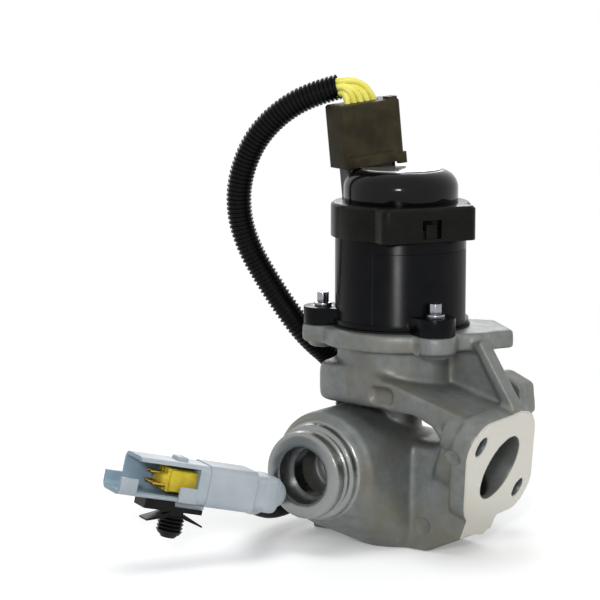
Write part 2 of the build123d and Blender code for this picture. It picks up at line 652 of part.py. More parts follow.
def connector_backshell():
    rear, last, end = Vector(*rear_point), Vector(*conduit_route[-2]), Vector(*conduit_route[-1])
    knee = end + (end - last).normalized() * knee_len
    shell = connector_plane * extrude(RectangleRounded(shell_w - 2 * shell_wall, shell_t - 2 * shell_wall, 3),
                                      amount=housing_low)
    shell += rod(tuple(knee), tuple(rear), knee_r) + ball(tuple(knee), knee_r)
    return shell + rod(tuple(end), tuple(knee), knee_r) + ball(tuple(rear), knee_r)


nodes["connector_backshell"] = connector_backshell()
insert_low, insert_high = 14.0, shell_len - 12.0
insert = Pos(0, 0, insert_low) * extrude(
    RectangleRounded(insert_w, insert_t, 1), amount=insert_high - insert_low)
contact_places = [(x, y) for x in (-4.0, 0.0, 4.0) for y in (-2.2, 2.2)][:5]
for x, y in contact_places:
    insert -= Pos(x, y, insert_low - 1) * Cylinder(
        contact_r + running_gap, insert_high, align=(Align.CENTER, Align.CENTER, Align.MIN))
nodes["connector_insert"] = connector_plane * insert
nodes["connector_pins"] = Part() + [
    connector_plane * (Pos(x, y, insert_low) * Cylinder(contact_r, insert_high - insert_low + 5.0,
                                                        align=(Align.CENTER, Align.CENTER, Align.MIN)))
    for x, y in contact_places]


def fir_tree_clip():
    """Push-in clip: a plate under the rail, two spring wings and a stud with stacked fins."""
    plate_y = -(shell_t - shroud_step) / 2 - rail_h
    down = Rot(90, 0, 0)
    body = Pos(0, plate_y - clip_plate_t / 2, (clip_low + clip_high) / 2) * Box(
        clip_plate_w, clip_plate_t, clip_high - clip_low)
    body += Pos(0, plate_y + (rail_h - body_gap) / 2, (rail_low + rail_len + body_gap + clip_high) / 2) * Box(
        clip_plate_w, rail_h - body_gap, clip_high - rail_low - rail_len - body_gap)
    wing = Plane.YZ * make_face(Polyline(
        (0, 0), (-wing_root, 0), (-wing_drop, wing_reach), (lock_line - wing_drop, wing_reach), close=True))
    blade = Pos(-wing_w / 2, plate_y - clip_plate_t + lock_line, clip_z) * extrude(wing, amount=wing_w)
    body += blade + mirror(blade, Plane(origin=(0, 0, clip_z), z_dir=(0, 0, 1)))
    top = plate_y - clip_plate_t + lock_line
    body += Pos(0, top, clip_z) * down * Cylinder(
        stud_r, stud_len - 1, align=(Align.CENTER, Align.CENTER, Align.MIN))
    fin_pitch = (stud_len - 3.5) / stud_fins
    for step in range(stud_fins):
        body += Pos(0, top - 3.0 - fin_pitch * step, clip_z) * down * Cone(
            stud_r + 1.1, stud_r, fin_pitch, align=(Align.CENTER, Align.CENTER, Align.MIN))
    body += Pos(0, top - stud_len + 1, clip_z) * down * Cone(
        stud_r, stud_r - 1.6, 2.0, align=(Align.CENTER, Align.CENTER, Align.MIN))
    return connector_plane * body


nodes["fir_tree_clip"] = fir_tree_clip()

os.makedirs("parts", exist_ok=True)
for name, shape in nodes.items():
    export_step(shape, "parts/" + name + ".step")
print(len(nodes), "nodes")
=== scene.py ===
import bpy
import math
from mathutils import Vector, Matrix


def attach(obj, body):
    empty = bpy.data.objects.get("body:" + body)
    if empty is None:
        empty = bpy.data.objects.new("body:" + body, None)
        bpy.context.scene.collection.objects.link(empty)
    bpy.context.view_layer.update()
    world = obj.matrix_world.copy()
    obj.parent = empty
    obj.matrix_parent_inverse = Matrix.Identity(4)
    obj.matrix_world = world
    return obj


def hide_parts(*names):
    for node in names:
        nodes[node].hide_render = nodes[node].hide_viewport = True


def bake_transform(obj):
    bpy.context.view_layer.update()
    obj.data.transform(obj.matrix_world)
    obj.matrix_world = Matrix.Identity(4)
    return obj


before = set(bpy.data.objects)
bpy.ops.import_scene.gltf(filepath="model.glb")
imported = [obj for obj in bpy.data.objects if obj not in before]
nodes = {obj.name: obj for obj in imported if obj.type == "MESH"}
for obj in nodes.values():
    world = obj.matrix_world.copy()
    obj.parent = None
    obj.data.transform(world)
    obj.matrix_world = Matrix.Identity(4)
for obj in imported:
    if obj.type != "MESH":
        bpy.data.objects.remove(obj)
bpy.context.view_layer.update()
mm = 0.001
sharpEdge = math.radians(40)  # edges sharper than this get a bevel
print("frame loaded:", len(nodes), "nodes")


def hexColour(text):
    # an sRGB hex value, turned to linear
    parts = [int(text[i:i + 2], 16) / 255 for i in (1, 3, 5)]
    return [p / 12.92 if p <= 0.04045 else ((p + 0.055) / 1.055) ** 2.4 for p in parts] + [1.0]


def addNode(tree, kind, settings=None, links=None):
    # a Mix node's sockets go by number: 0 is the share, 2 and 3 the values, 6 and 7 the colours
    node = tree.nodes.new(kind)
    for name, value in (settings or {}).items():
        if isinstance(name, str) and hasattr(node, name):
            setattr(node, name, value)
        else:
            node.inputs[name].default_value = value
    for name, socket in (links or {}).items():
        tree.links.new(socket, node.inputs[name])
    return node


def deselectAll():
    if bpy.context.object and bpy.context.object.mode != "OBJECT":
        bpy.ops.object.mode_set(mode="OBJECT")
    bpy.ops.object.select_all(action="DESELECT")


def makeActive(piece):
    deselectAll()
    piece.select_set(True)
    bpy.context.view_layer.objects.active = piece


def applyModifier(piece, kind, **settings):
    makeActive(piece)
    modifier = piece.modifiers.new(kind.lower(), kind)
    for name, value in settings.items():
        setattr(modifier, name, value)
    bpy.ops.object.modifier_apply(modifier=modifier.name)


def bevelEdges(piece, width, sharper=sharpEdge):
    applyModifier(piece, "BEVEL", width=width * mm, segments=2, limit_method="ANGLE", angle_limit=sharper)


def smoothByAngle(piece, degrees):
    makeActive(piece)
    bpy.ops.object.shade_smooth_by_angle(angle=math.radians(degrees))


def faceOutwards(piece):
    makeActive(piece)
    bpy.ops.object.mode_set(mode="EDIT")
    bpy.ops.mesh.select_all(action="SELECT")
    bpy.ops.mesh.normals_make_consistent(inside=False)
    bpy.ops.object.mode_set(mode="OBJECT")


mergeLook = {"weld": 0.002, "flat": 0.5}


def mergedCopy(nodeName, pieceName):
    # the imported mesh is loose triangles, so the copy is welded and its flat faces joined
    piece = bpy.data.objects.new(pieceName, nodes[nodeName].data.copy())
    bpy.context.scene.collection.objects.link(piece)
    piece.data.materials.clear()
    makeActive(piece)
    bpy.ops.mesh.customdata_custom_splitnormals_clear()
    bpy.ops.object.mode_set(mode="EDIT")
    bpy.ops.mesh.select_all(action="SELECT")
    bpy.ops.mesh.remove_doubles(threshold=mergeLook["weld"] * mm)
    bpy.ops.mesh.dissolve_limited(angle_limit=math.radians(mergeLook["flat"]))
    bpy.ops.object.mode_set(mode="OBJECT")
    return piece


def finishPiece(piece, material, body, replaced=()):
    piece.data.materials.clear()
    piece.data.materials.append(material)
    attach(piece, body)
    if replaced:
        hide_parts(*replaced)


def placeMesh(piece, matrix):
    # the place goes into the mesh, and the object stays at the origin
    piece.data.transform(matrix @ piece.matrix_world)
    piece.matrix_world = Matrix.Identity(4)


def frameMatrix(origin, zAxis, xAxis):
    z = Vector(zAxis).normalized()
    x = Vector(xAxis)
    x = (x - z * x.dot(z)).normalized()
    y = z.cross(x)
    rotation = Matrix((x, y, z)).transposed().to_4x4()
    return Matrix.Translation(Vector(origin) * mm) @ rotation


def roundedBlock(name, size, centre, edge):
    deselectAll()
    bpy.ops.mesh.primitive_cube_add(size=1, location=[c * mm for c in centre])
    piece = bpy.context.object
    piece.name = name
    piece.scale = [s * mm for s in size]
    bpy.ops.object.transform_apply(location=True, rotation=False, scale=True)
    applyModifier(piece, "BEVEL", width=edge * mm, segments=3)
    return piece


def roundBar(name, radius, length, centre, edge, sides=48):
    deselectAll()
    bpy.ops.mesh.primitive_cylinder_add(vertices=sides, radius=radius * mm, depth=length * mm,
                                        location=[c * mm for c in centre])
    piece = bpy.context.object
    piece.name = name
    bpy.ops.object.transform_apply(location=True, rotation=True, scale=True)
    bevelEdges(piece, edge)
    return piece


def joinPieces(first, others):
    makeActive(first)
    for other in others:
        other.select_set(True)
    bpy.ops.object.join()
    return first


def newMaterial(name):
    material = bpy.data.materials.new(name)
    material.use_nodes = True
    material.node_tree.nodes.clear()
    return material, material.node_tree


plasticTexture = {"ior": 1.5, "grainDetail": 3.0, "flowDetail": 5.0, "flowRange": (0.35, 0.65),
                  "sheenSpread": 0.06, "bump": 0.35}


def mouldedPlastic(name, look):
    # injection moulded: a fine grain left by the tool, and shade and sheen that drift where the melt flowed;
    # the real grain, about 0.1 mm, is too fine to show and is drawn several times as coarse
    texture = plasticTexture
    material, tree = newMaterial(name)
    coords = addNode(tree, "ShaderNodeTexCoord").outputs["Object"]
    grain = addNode(tree, "ShaderNodeTexNoise", {"Scale": 1 / (look["grain"] * mm),
                                                 "Detail": texture["grainDetail"]}, {"Vector": coords})
    flow = addNode(tree, "ShaderNodeTexNoise", {"Scale": 1 / (look["patch"] * mm),
                                                "Detail": texture["flowDetail"]}, {"Vector": coords})
    low, high = texture["flowRange"]
    blend = addNode(tree, "ShaderNodeMapRange", {"From Min": low, "From Max": high},
                    {"Value": flow.outputs["Fac"]})
    colour = addNode(tree, "ShaderNodeMix", {"data_type": "RGBA", 6: hexColour(look["colour"]),
                                             7: hexColour(look["shade"])}, {0: blend.outputs["Result"]})
    sheen = addNode(tree, "ShaderNodeMapRange", {"To Min": look["rough"] - texture["sheenSpread"],
                                                 "To Max": look["rough"] + texture["sheenSpread"]},
                    {"Value": flow.outputs["Fac"]})
    bump = addNode(tree, "ShaderNodeBump", {"Strength": texture["bump"], "Distance": look["depth"] * mm},
                   {"Height": grain.outputs["Fac"]})
    shader = addNode(tree, "ShaderNodeBsdfPrincipled", {"IOR": texture["ior"],
                                                        "Specular IOR Level": look["gloss"]},
                     {"Base Color": colour.outputs[2], "Roughness": sheen.outputs["Result"],
                      "Normal": bump.outputs["Normal"]})
    addNode(tree, "ShaderNodeOutputMaterial", links={"Surface": shader.outputs["BSDF"]})
    return material


metalTexture = {"grainDetail": 2.0, "stainDetail": 6.0, "sheenSpread": 0.08, "bump": 0.2}


def turnedMetal(name, look):
    # turned, drawn or plated: fine marks left by the tool and faint stains that dull the shine;
    # the real marks are under 0.1 mm and are drawn several times as coarse
    texture = metalTexture
    material, tree = newMaterial(name)
    coords = addNode(tree, "ShaderNodeTexCoord").outputs["Object"]
    marks = addNode(tree, "ShaderNodeTexNoise", {"Scale": 1 / (look["grain"] * mm),
                                                 "Detail": texture["grainDetail"]}, {"Vector": coords})
    stain = addNode(tree, "ShaderNodeTexNoise", {"Scale": 1 / (look["patch"] * mm),
                                                 "Detail": texture["stainDetail"]}, {"Vector": coords})
    colour = addNode(tree, "ShaderNodeMix", {"data_type": "RGBA", 6: hexColour(look["colour"]),
                                             7: hexColour(look["shade"])}, {0: stain.outputs["Fac"]})
    sheen = addNode(tree, "ShaderNodeMapRange", {"To Min": look["rough"] - texture["sheenSpread"],
                                                 "To Max": look["rough"] + texture["sheenSpread"]},
                    {"Value": stain.outputs["Fac"]})
    bump = addNode(tree, "ShaderNodeBump", {"Strength": texture["bump"], "Distance": look["depth"] * mm},
                   {"Height": marks.outputs["Fac"]})
    shader = addNode(tree, "ShaderNodeBsdfPrincipled", {"Metallic": 1.0},
                     {"Base Color": colour.outputs[2], "Roughness": sheen.outputs["Result"],
                      "Normal": bump.outputs["Normal"]})
    addNode(tree, "ShaderNodeOutputMaterial", links={"Surface": shader.outputs["BSDF"]})
    return material


castLook = {
    "skin": "#7b7f7e", "skinDark": "#585c5b", "skinWarm": "#6c6757", "machined": "#8f918f",
    "faced": "#c6c3b8", "flangeCentre": (52.4, 0.0, 38.2), "flangeYaw": 4.5, "flangeTilt": 21.0,
    "facingDepth": 0.5, "spigotEnd": -40.6, "grain": 0.9, "mottle": 5.0, "patch": 22.0,
    "mottleRange": (0.35, 0.75), "mottleShare": 0.6, "warmRange": (0.44, 0.68), "warmShare": 0.7,
    "skinRough": (0.36, 0.56), "cutRough": 0.24, "metallic": 0.45, "toolPitch": 0.45, "bandAtScaleOne": 0.3,
    "toolWander": 0.6, "bump": 0.5, "relief": 0.09,
}
flangeYaw, flangeTilt = math.radians(castLook["flangeYaw"]), math.radians(castLook["flangeTilt"])
flangeOutward = Vector((math.cos(flangeYaw) * math.cos(flangeTilt),
                        math.sin(flangeYaw) * math.cos(flangeTilt), -math.sin(flangeTilt)))


def dieCastAluminium():
    # pressure die-cast aluminium: satin grey skin, mottled dark and stained warm, and two faces cut bright,
    # the flange and the spigot; the tool's feed marks, about 0.15 mm apart, are drawn three times as coarse
    look = castLook
    material, tree = newMaterial("dieCastAluminium")
    coords = addNode(tree, "ShaderNodeTexCoord").outputs["Object"]
    fine = addNode(tree, "ShaderNodeTexNoise", {"Scale": 1 / (look["grain"] * mm), "Detail": 4.0},
                   {"Vector": coords})
    mottle = addNode(tree, "ShaderNodeTexNoise", {"Scale": 1 / (look["mottle"] * mm), "Detail": 6.0,
                                                  "Roughness": 0.65}, {"Vector": coords})
    patch = addNode(tree, "ShaderNodeTexNoise", {"Scale": 1 / (look["patch"] * mm), "Detail": 3.0},
                    {"Vector": coords})
    low, high = look["mottleRange"]
    darkness = addNode(tree, "ShaderNodeMapRange", {"From Min": low, "From Max": high,
                                                    "To Max": look["mottleShare"]},
                       {"Value": mottle.outputs["Fac"]})
    skin = addNode(tree, "ShaderNodeMix", {"data_type": "RGBA", 6: hexColour(look["skin"]),
                                           7: hexColour(look["skinDark"])}, {0: darkness.outputs["Result"]})
    low, high = look["warmRange"]
    warmth = addNode(tree, "ShaderNodeMapRange", {"From Min": low, "From Max": high,
                                                  "To Max": look["warmShare"]},
                     {"Value": patch.outputs["Fac"]})
    warm = addNode(tree, "ShaderNodeMix", {"data_type": "RGBA", 7: hexColour(look["skinWarm"])},
                   {0: warmth.outputs["Result"], 6: skin.outputs[2]})

    # 1 on what lies at the flange's face, and 1 on what lies past the end of the rough pipe
    reach = flangeOutward.dot(Vector(look["flangeCentre"]) * mm) - look["facingDepth"] * mm
    along = addNode(tree, "ShaderNodeVectorMath", {"operation": "DOT_PRODUCT", 1: flangeOutward}, {0: coords})
    faced = addNode(tree, "ShaderNodeMath", {"operation": "GREATER_THAN", 1: reach},
                    {0: along.outputs["Value"]})
    split = addNode(tree, "ShaderNodeSeparateXYZ", links={0: coords})
    turned = addNode(tree, "ShaderNodeMath", {"operation": "LESS_THAN", 1: look["spigotEnd"] * mm},
                     {0: split.outputs["Y"]})
    withFace = addNode(tree, "ShaderNodeMix", {"data_type": "RGBA", 7: hexColour(look["faced"])},
                       {0: faced.outputs[0], 6: warm.outputs[2]})
    colour = addNode(tree, "ShaderNodeMix", {"data_type": "RGBA", 7: hexColour(look["machined"])},
                     {0: turned.outputs[0], 6: withFace.outputs[2]})
    cut = addNode(tree, "ShaderNodeMath", {"operation": "MAXIMUM"},
                  {0: faced.outputs[0], 1: turned.outputs[0]})

    low, high = look["skinRough"]
    skinSheen = addNode(tree, "ShaderNodeMapRange", {"To Min": low, "To Max": high},
                        {"Value": mottle.outputs["Fac"]})
    sheen = addNode(tree, "ShaderNodeMix", {"data_type": "FLOAT", 3: look["cutRough"]},
                    {0: cut.outputs[0], 2: skinSheen.outputs["Result"]})
    tool = addNode(tree, "ShaderNodeTexWave", {"Scale": look["bandAtScaleOne"] / (look["toolPitch"] * mm),
                                               "Distortion": look["toolWander"], "bands_direction": "Y"},
                   {"Vector": coords})
    relief = addNode(tree, "ShaderNodeMix", {"data_type": "FLOAT"},
                     {0: cut.outputs[0], 2: fine.outputs["Fac"], 3: tool.outputs["Fac"]})
    bump = addNode(tree, "ShaderNodeBump", {"Strength": look["bump"], "Distance": look["relief"] * mm},
                   {"Height": relief.outputs[0]})
    bare = addNode(tree, "ShaderNodeMapRange", {"To Min": look["metallic"], "To Max": 1.0},
                   {"Value": cut.outputs[0]})
    shader = addNode(tree, "ShaderNodeBsdfPrincipled", links={
        "Base Color": colour.outputs[2], "Roughness": sheen.outputs[0], "Metallic": bare.outputs["Result"],
        "Normal": bump.outputs["Normal"]})
    addNode(tree, "ShaderNodeOutputMaterial", links={"Surface": shader.outputs["BSDF"]})
    return material


plasticLooks = {
    # glass-filled nylon of the can: near black and slightly blue, with a satin shine
    "canNylon": {"colour": "#050609", "shade": "#0a0b0e", "rough": 0.24, "gloss": 0.09, "grain": 0.5,
                 "patch": 9.0, "depth": 0.02},
    # nylon of the collar: warmer and duller than the can
    "coverNylon": {"colour": "#0b0b09", "shade": "#141310", "rough": 0.28, "gloss": 0.1, "grain": 0.5,
                   "patch": 7.0, "depth": 0.02},
    # polished mould: the cap mirrors the lamps in sharp streaks
    "capNylon": {"colour": "#040405", "shade": "#090908", "rough": 0.14, "gloss": 0.2, "grain": 0.8,
                 "patch": 9.0, "depth": 0.008},
    # aged nylon of the harness plug: matt, olive brown
    "plugNylon": {"colour": "#29241a", "shade": "#3a3424", "rough": 0.5, "gloss": 0.1, "grain": 0.5,
                  "patch": 8.0, "depth": 0.03},
    # extruded polypropylene: soft shine on the crest of each rib
    "conduitPolypropylene": {"colour": "#030305", "shade": "#070709", "rough": 0.42, "gloss": 0.12,
                             "grain": 0.6, "patch": 12.0, "depth": 0.02},
    # smooth wire cover of pale yellow vinyl
    "wireInsulation": {"colour": "#f0ea78", "shade": "#e6dc5e", "rough": 0.36, "gloss": 0.4, "grain": 1.2,
                       "patch": 6.0, "depth": 0.01},
    # pale blue-grey nylon with a soft sheen, and the same nylon darker and bluer as painted shade inside the
    # mouth
    "connectorNylon": {"colour": "#a9b0b6", "shade": "#9ba4ab", "rough": 0.4, "gloss": 0.4, "grain": 0.6,
                       "patch": 14.0, "depth": 0.02},
    "cavityPaintedShade": {"colour": "#8ba0ad", "shade": "#7b92a2", "rough": 0.4, "gloss": 0.4, "grain": 0.6,
                    "patch": 10.0, "depth": 0.02},
    # strong yellow nylon with an ochre tint
    "insertNylon": {"colour": "#d0bb2a", "shade": "#b49c1e", "rough": 0.4, "gloss": 0.4, "grain": 0.6,
                    "patch": 5.0, "depth": 0.02},
    # black nylon of the clip, a little shiny on its barbs
    "clipNylon": {"colour": "#050506", "shade": "#0a0a0c", "rough": 0.4, "gloss": 0.16, "grain": 0.5,
                  "patch": 6.0, "depth": 0.02},
    # moulded nitrile rubber: dull black
    "sealRubber": {"colour": "#0c0c0c", "shade": "#141414", "rough": 0.65, "gloss": 0.2, "grain": 0.4,
                   "patch": 5.0, "depth": 0.03},
    # natural nylon: cream, slightly waxy
    "bobbinNylon": {"colour": "#cfc9b4", "shade": "#bfb8a0", "rough": 0.45, "gloss": 0.4, "grain": 0.5,
                    "patch": 5.0, "depth": 0.02},
    # lacquered circuit board: deep green with a flat shine
    "trackBoard": {"colour": "#1f5a34", "shade": "#184a2a", "rough": 0.4, "gloss": 0.4, "grain": 0.4,
                   "patch": 4.0, "depth": 0.01},
}
metalLooks = {
    # zinc-plated steel: bluish grey, bright on the corners of the screw heads
    "zincSteel": {"colour": "#a3a5aa", "shade": "#85878c", "rough": 0.26, "grain": 0.3, "patch": 3.0,
                  "depth": 0.02},
    # turned stainless steel: clean and bright
    "stainlessSteel": {"colour": "#bfc1c2", "shade": "#a6a8aa", "rough": 0.26, "grain": 0.4, "patch": 6.0,
                       "depth": 0.02},
    # bare soft iron: darker and duller grey
    "softIron": {"colour": "#8d8e90", "shade": "#76777a", "rough": 0.38, "grain": 0.5, "patch": 6.0,
                 "depth": 0.03},
    # sintered bronze: brown gold, half dull
    "bearingBronze": {"colour": "#b08a4e", "shade": "#9a7740", "rough": 0.34, "grain": 0.5, "patch": 5.0,
                      "depth": 0.02},
    # enamelled copper wire: red brown
    "enamelledCopper": {"colour": "#a85a2e", "shade": "#8e4822", "rough": 0.35, "grain": 0.4, "patch": 4.0,
                        "depth": 0.05},
    # drawn brass: clear yellow shine
    "contactBrass": {"colour": "#c9a24e", "shade": "#b28b3c", "rough": 0.26, "grain": 0.3, "patch": 3.0,
                     "depth": 0.01},
    # aluminium foil: pale, with a broad soft shine
    "foilSilver": {"colour": "#e6e7e8", "shade": "#d2d4d6", "rough": 0.3, "grain": 0.6, "patch": 7.0,
                   "depth": 0.01},
}
finishes = {name: mouldedPlastic(name, look) for name, look in plasticLooks.items()}
finishes.update({name: turnedMetal(name, look) for name, look in metalLooks.items()})
finishes["dieCastAluminium"] = dieCastAluminium()

# the CAD nodes that are shown as they are, under their finish
nodeFinishes = {
    "stainlessSteel": ["valve_seat", "valve_poppet", "port_liner", "stem_shield", "spring_retainer"],
    "zincSteel": ["core_plug", "ear_bushes", "armature_nut"],
    "softIron": ["armature", "pole_piece", "stator_shell", "flux_washer"],
    "bearingBronze": ["stem_guide", "armature_sleeve"],
    "sealRubber": ["stem_seal", "actuator_gasket", "plug_seal"],
    "enamelledCopper": ["coil_winding"],
    "bobbinNylon": ["coil_bobbin", "sensor_plunger"],
    "trackBoard": ["sensor_track"],
    "contactBrass": ["terminal_pins", "plug_terminals", "wiper_contacts"],
    "coverNylon": ["cover_latch"],
    "clipNylon": ["fir_tree_clip"],
}
for finishName, members in nodeFinishes.items():
    for member in members:
        nodes[member].data.materials.clear()
        nodes[member].data.materials.append(finishes[finishName])
print("materials made")

cameraLook = {"place": (0.5769, -0.8689, 0.2681), "view": (-0.5809, 0.7995, -0.1530), "lens": 144.0,
              "sensor": 36.0}


def addCamera():
    data = bpy.data.cameras.new("benchCamera")
    data.lens = cameraLook["lens"]
    data.sensor_width = cameraLook["sensor"]
    camera = bpy.data.objects.new("benchCamera", data)
    bpy.context.scene.collection.objects.link(camera)
    camera.location = cameraLook["place"]
    camera.rotation_euler = Vector(cameraLook["view"]).to_track_quat("-Z", "Y").to_euler()
    bpy.context.scene.camera = camera


# square lamps aimed at the middle of the valve; the two large ones aren't mirrored, as that would turn
# the black plastic grey
lampAim = (0.0, -0.01, 0.09)
lampLooks = {
    "flashLamp": {"place": (0.47, -0.86, 0.40), "size": 0.13, "power": 3.5, "mirrored": True},
    "overheadLamp": {"place": (0.10, -0.25, 1.15), "size": 0.7, "power": 5.2, "mirrored": False},
    "fillLamp": {"place": (1.0, 0.1, 0.35), "size": 0.5, "power": 2.6, "mirrored": False},
    "backLamp": {"place": (-0.6, 0.7, 0.6), "size": 0.5, "power": 3.5, "mirrored": True},
}


def addLamps():
    for name, look in lampLooks.items():
        data = bpy.data.lights.new(name, "AREA")
        data.shape = "SQUARE"
        data.size = look["size"]
        data.energy = look["power"]
        lamp = bpy.data.objects.new(name, data)
        bpy.context.scene.collection.objects.link(lamp)
        lamp.location = look["place"]
        lamp.visible_glossy = look["mirrored"]
        lamp.rotation_euler = (Vector(lampAim) - Vector(look["place"])).to_track_quat("-Z", "Y").to_euler()


roomLook = {"soft": "#f4f6f8", "softStrength": 0.34, "white": "#ffffff"}


def seenRays(tree):
    # 1 for what the camera sees, straight or in a mirror, and 0 for what lights the object
    path = addNode(tree, "ShaderNodeLightPath")
    seen = addNode(tree, "ShaderNodeMath", {"operation": "MAXIMUM"},
                   {0: path.outputs["Is Camera Ray"], 1: path.outputs["Is Glossy Ray"]})
    return seen.outputs[0]


def addWorld():
    world = bpy.data.worlds.new("softRoom")
    world.use_nodes = True
    bpy.context.scene.world = world
    tree = world.node_tree
    tree.nodes.clear()
    soft = addNode(tree, "ShaderNodeBackground", {"Color": hexColour(roomLook["soft"]),
                                                  "Strength": roomLook["softStrength"]})
    white = addNode(tree, "ShaderNodeBackground", {"Color": hexColour(roomLook["white"]), "Strength": 1.0})
    mixed = addNode(tree, "ShaderNodeMixShader", links={0: seenRays(tree), 1: soft.outputs[0],
                                                        2: white.outputs[0]})
    addNode(tree, "ShaderNodeOutputWorld", links={"Surface": mixed.outputs[0]})


floorLook = {"size": 6.0, "drop": 0.0002, "colour": "#fbfbfb", "rough": 0.9, "gloss": 0.1, "fadeStart": 0.14,
             "fadeEnd": 0.40, "glow": "#ffffff", "lift": 0.2}


def addFloor():
    # matt paper near the object, which runs out into the white room further off
    look = floorLook
    deselectAll()
    bpy.ops.mesh.primitive_plane_add(size=look["size"], location=(0, 0, -look["drop"]))
    floor = bpy.context.object
    floor.name = "benchFloor"
    material, tree = newMaterial("paperSweep")
    coords = addNode(tree, "ShaderNodeTexCoord").outputs["Object"]
    reach = addNode(tree, "ShaderNodeVectorMath", {"operation": "LENGTH"}, {0: coords})
    fade = addNode(tree, "ShaderNodeMapRange", {"interpolation_type": "SMOOTHSTEP",
                                                "From Min": look["fadeStart"], "From Max": look["fadeEnd"]},
                   {"Value": reach.outputs["Value"]})
    shader = addNode(tree, "ShaderNodeBsdfPrincipled", {"Base Color": hexColour(look["colour"]),
                                                        "Roughness": look["rough"],
                                                        "Specular IOR Level": look["gloss"]})
    lift = addNode(tree, "ShaderNodeMath", {"operation": "MULTIPLY", 1: look["lift"]}, {0: seenRays(tree)})
    glow = addNode(tree, "ShaderNodeEmission", {"Color": hexColour(look["glow"])},
                   {"Strength": lift.outputs[0]})
    paper = addNode(tree, "ShaderNodeAddShader", links={0: shader.outputs["BSDF"],
                                                        1: glow.outputs["Emission"]})
    clear = addNode(tree, "ShaderNodeBsdfTransparent")
    mixed = addNode(tree, "ShaderNodeMixShader", links={0: fade.outputs["Result"], 1: paper.outputs[0],
                                                        2: clear.outputs["BSDF"]})
    addNode(tree, "ShaderNodeOutputMaterial", links={"Surface": mixed.outputs[0]})
    floor.data.materials.append(material)


addCamera()
addLamps()
addWorld()
addFloor()
bpy.context.scene.view_settings.view_transform = "Standard"
print("camera and light placed")

conduitLook = {
    "radius": 5.6, "groove": 0.75, "pitch": 1.95, "rings": 6, "sides": 30, "bore": 4.3, "length": 290.0,
    "ribMiddle": 0.5, "ribFlank": 1.1, "smooth": 50,
    "route": [
        (-29.0, -6.5, 199.5), (-41.0, -12.0, 196.0), (-55.5, -18.0, 186.0), (-66.5, -21.5, 172.0),
        (-73.0, -22.5, 152.0), (-72.0, -19.0, 131.0), (-62.5, -10.5, 108.0), (-49.5, -3.0, 87.0),
        (-43.0, 13.5, 73.0), (-41.5, 21.0, 56.0), (-44.0, 20.0, 37.0), (-47.5, 10.0, 21.5),
        (-51.0, -6.0, 12.5), (-51.0, -25.0, 11.0), (-47.0, -43.0, 17.0), (-41.0, -53.5, 21.5),
    ],
}


def splinePoints(route, name):
    # a smooth line whose control points are the route's points
    curve = bpy.data.curves.new(name, "CURVE")
    curve.dimensions = "3D"
    curve.resolution_u = 24
    spline = curve.splines.new("NURBS")
    spline.points.add(len(route) - 1)
    for point, place in zip(spline.points, route):
        point.co = [c * mm for c in place] + [1.0]
    spline.order_u = 3
    spline.use_endpoint_u = True
    holder = bpy.data.objects.new(name, curve)
    bpy.context.scene.collection.objects.link(holder)
    mesh = bpy.data.meshes.new_from_object(holder)
    points = [v.co.copy() for v in mesh.vertices]
    bpy.data.objects.remove(holder)
    bpy.data.meshes.remove(mesh)
    return points


def evenPoints(points, step):
    # the same line in even steps, and its length
    lengths = [0.0]
    for a, b in zip(points, points[1:]):
        lengths.append(lengths[-1] + (b - a).length)
    count = max(2, round(lengths[-1] / step))
    spaced, index = [], 0
    for i in range(count + 1):
        goal = lengths[-1] * i / count
        while index < len(points) - 2 and lengths[index + 1] < goal:
            index += 1
        share = (goal - lengths[index]) / max(lengths[index + 1] - lengths[index], 1e-12)
        spaced.append(points[index].lerp(points[index + 1], share))
    return spaced, lengths[-1]


def tubeMesh(name, points, radii, sides):
    # rings of vertices carried along the line without twist
    vertices, faces = [], []
    last = len(points) - 1
    tangents = [(points[min(i + 1, last)] - points[max(i - 1, 0)]).normalized() for i in range(last + 1)]
    side = tangents[0].orthogonal().normalized()
    for point, tangent, radius in zip(points, tangents, radii):
        side = (side - tangent * side.dot(tangent)).normalized()
        up = tangent.cross(side)
        for k in range(sides):
            turn = 2 * math.pi * k / sides
            vertices.append(point + (side * math.cos(turn) + up * math.sin(turn)) * radius)
    for i in range(last):
        for k in range(sides):
            a, b = i * sides + k, i * sides + (k + 1) % sides
            faces.append((a, b, b + sides, a + sides))
    mesh = bpy.data.meshes.new(name)
    mesh.from_pydata(vertices, [], faces)
    piece = bpy.data.objects.new(name, mesh)
    bpy.context.scene.collection.objects.link(piece)
    return piece


def addConduit():
    # out along the ribs and back along the bore, so that the sleeve has a wall
    look = conduitLook
    line = splinePoints(look["route"], "conduitRoute")
    points, length = evenPoints(line, look["pitch"] * mm / look["rings"])
    radii = []
    for i in range(len(points)):
        phase = (i % look["rings"]) / look["rings"]
        rib = min(1.0, max(0.0, look["ribMiddle"] + look["ribFlank"] * math.cos(2 * math.pi * phase)))
        radii.append((look["radius"] - look["groove"] * (1 - rib)) * mm)
    inner = [look["bore"] * mm] * len(points)
    piece = tubeMesh("conduitSleeve", points + points[::-1], radii + inner, look["sides"])
    faceOutwards(piece)
    smoothByAngle(piece, look["smooth"])
    finishPiece(piece, finishes["conduitPolypropylene"], "body", ["harness_conduit"])
    return piece, points, length


conduitPiece, conduitLine, conduitLength = addConduit()
print("conduit made, length", round(conduitLength, 4))

towerLook = {"origin": (-17.6, 2.1, 150.5), "yaw": 65.0, "lean": -6.0}
towerYaw, towerLean = math.radians(towerLook["yaw"]), math.radians(towerLook["lean"])
towerLong = Vector((math.cos(towerYaw), math.sin(towerYaw), 0))
towerUp = Vector((math.sin(towerLean) * towerLong.x, math.sin(towerLean) * towerLong.y, math.cos(towerLean)))
towerPlace = frameMatrix(towerLook["origin"], towerUp, towerLong)

